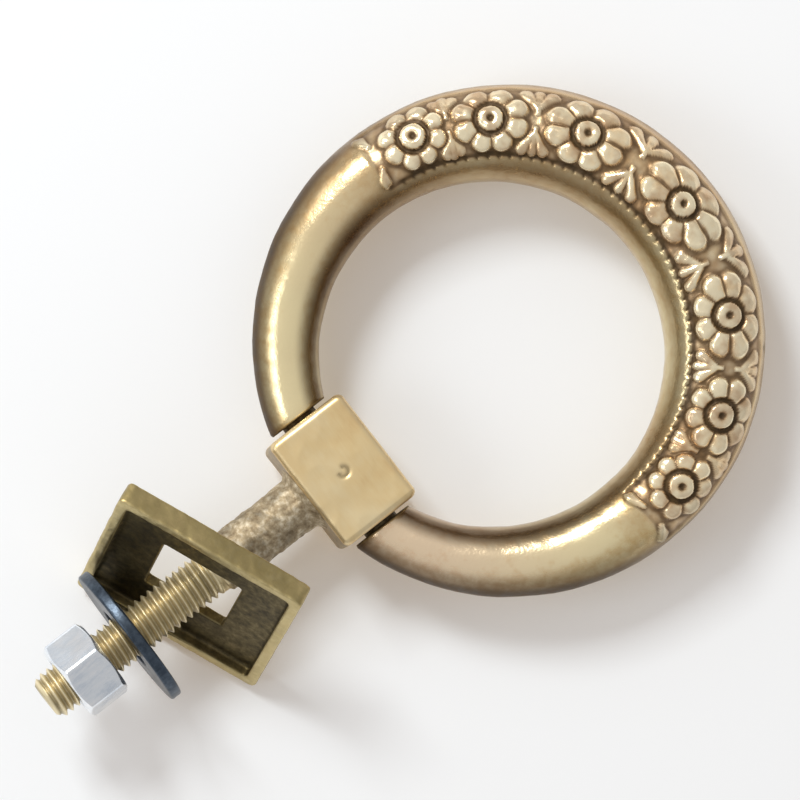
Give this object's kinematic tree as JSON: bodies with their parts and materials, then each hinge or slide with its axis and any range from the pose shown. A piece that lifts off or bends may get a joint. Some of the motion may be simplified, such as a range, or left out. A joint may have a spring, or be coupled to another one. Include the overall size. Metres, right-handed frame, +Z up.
{
  "type": "ring pull handle",
  "caption": "Cast brass ring pull with a flowered ring hinged in a block on a threaded post, with back plate, washer and hex nut.",
  "frame": {"origin": "middle of the footprint on the table, with the ring lying flat and the post stretched out beside it", "axes": "+X along the two hinge pins, +Y from the ring along the threaded post, +Z up from the table through the ring's flowered face"},
  "size_m": [0.052, 0.0852, 0.0194],
  "materials": {
    "ring_brass": "antique brass, brown in the recesses and worn bright on the high spots",
    "post_brass": "satin yellow brass block on a rough cast shank with a cut thread",
    "plate_brass": "dull olive brass with worn bright edges",
    "washer_steel": "blued dark steel",
    "nut_zinc": "bright zinc plate"
  },
  "bodies": {
    "post": {"post": "post_brass", "back_plate": "plate_brass", "washer": "washer_steel"},
    "ring": {"ring": "ring_brass"},
    "nut": {"nut": "nut_zinc"}
  },
  "joints": [
    {"name": "ring_swing", "type": "hinge", "parent": "post", "child": "ring", "pos_m": [0, 0.00506, 0.00604], "axis": [1, 0, 0], "range_deg": [-83.4, 96.6]},
    {"name": "nut_travel", "type": "slide", "parent": "post", "child": "nut", "axis": [0, 0.9934, 0.1143], "range_m": [-0.0026, 0.0027]}
  ]
}
